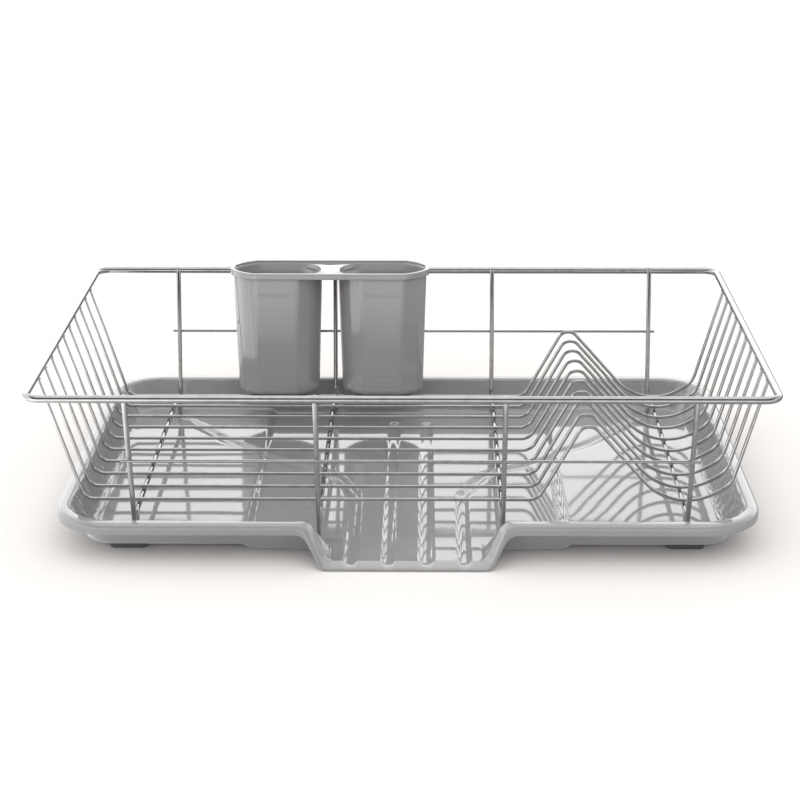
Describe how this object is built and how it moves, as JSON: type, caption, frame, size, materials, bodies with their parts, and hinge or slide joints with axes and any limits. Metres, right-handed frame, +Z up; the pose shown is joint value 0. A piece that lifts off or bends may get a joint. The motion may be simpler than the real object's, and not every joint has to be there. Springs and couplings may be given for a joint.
{
  "type": "dish drying rack",
  "caption": "Wire dish drying basket with a row of plate humps, standing in a drip tray with a drain spout, with a divided utensil holder hung on its rear rim.",
  "frame": {"origin": "on the table, under the middle of the whole object's box", "axes": "+X along the rack's length towards the plate humps, -Y towards the spout at the front, +Z up"},
  "size_m": [0.485, 0.3166, 0.1248],
  "materials": {
    "tray_plastic": "glossy moulded mid grey",
    "holder_plastic": "glossy moulded warm grey",
    "foot_rubber": "matte dark grey",
    "rim_steel": "polished",
    "wire_steel": "polished"
  },
  "bodies": {
    "tray": {"drip_tray": "tray_plastic", "rubber_foot_front_left": "foot_rubber", "rubber_foot_front_right": "foot_rubber", "rubber_foot_rear_left": "foot_rubber", "rubber_foot_rear_right": "foot_rubber"},
    "basket": {"rim_wire": "rim_steel", "plate_wire_01": "wire_steel", "plate_wire_02": "wire_steel", "plate_wire_03": "wire_steel", "plate_wire_04": "wire_steel", "plate_wire_05": "wire_steel", "plate_wire_06": "wire_steel", "plate_wire_07": "wire_steel", "plate_wire_08": "wire_steel", "plate_wire_09": "wire_steel", "plate_wire_10": "wire_steel", "cross_wire_1": "wire_steel", "cross_wire_2": "wire_steel", "cross_wire_3": "wire_steel", "cross_wire_4": "wire_steel", "front_side_rail": "wire_steel", "rear_side_rail": "wire_steel"},
    "holder": {"utensil_holder": "holder_plastic"}
  },
  "joints": [
    {"name": "basket_lift", "type": "slide", "parent": "tray", "child": "basket", "axis": [0, 0, 1], "range_m": [0, 0.15]},
    {"name": "holder_lift", "type": "slide", "parent": "basket", "child": "holder", "axis": [0, 0, 1], "range_m": [0, 0.12]}
  ]
}
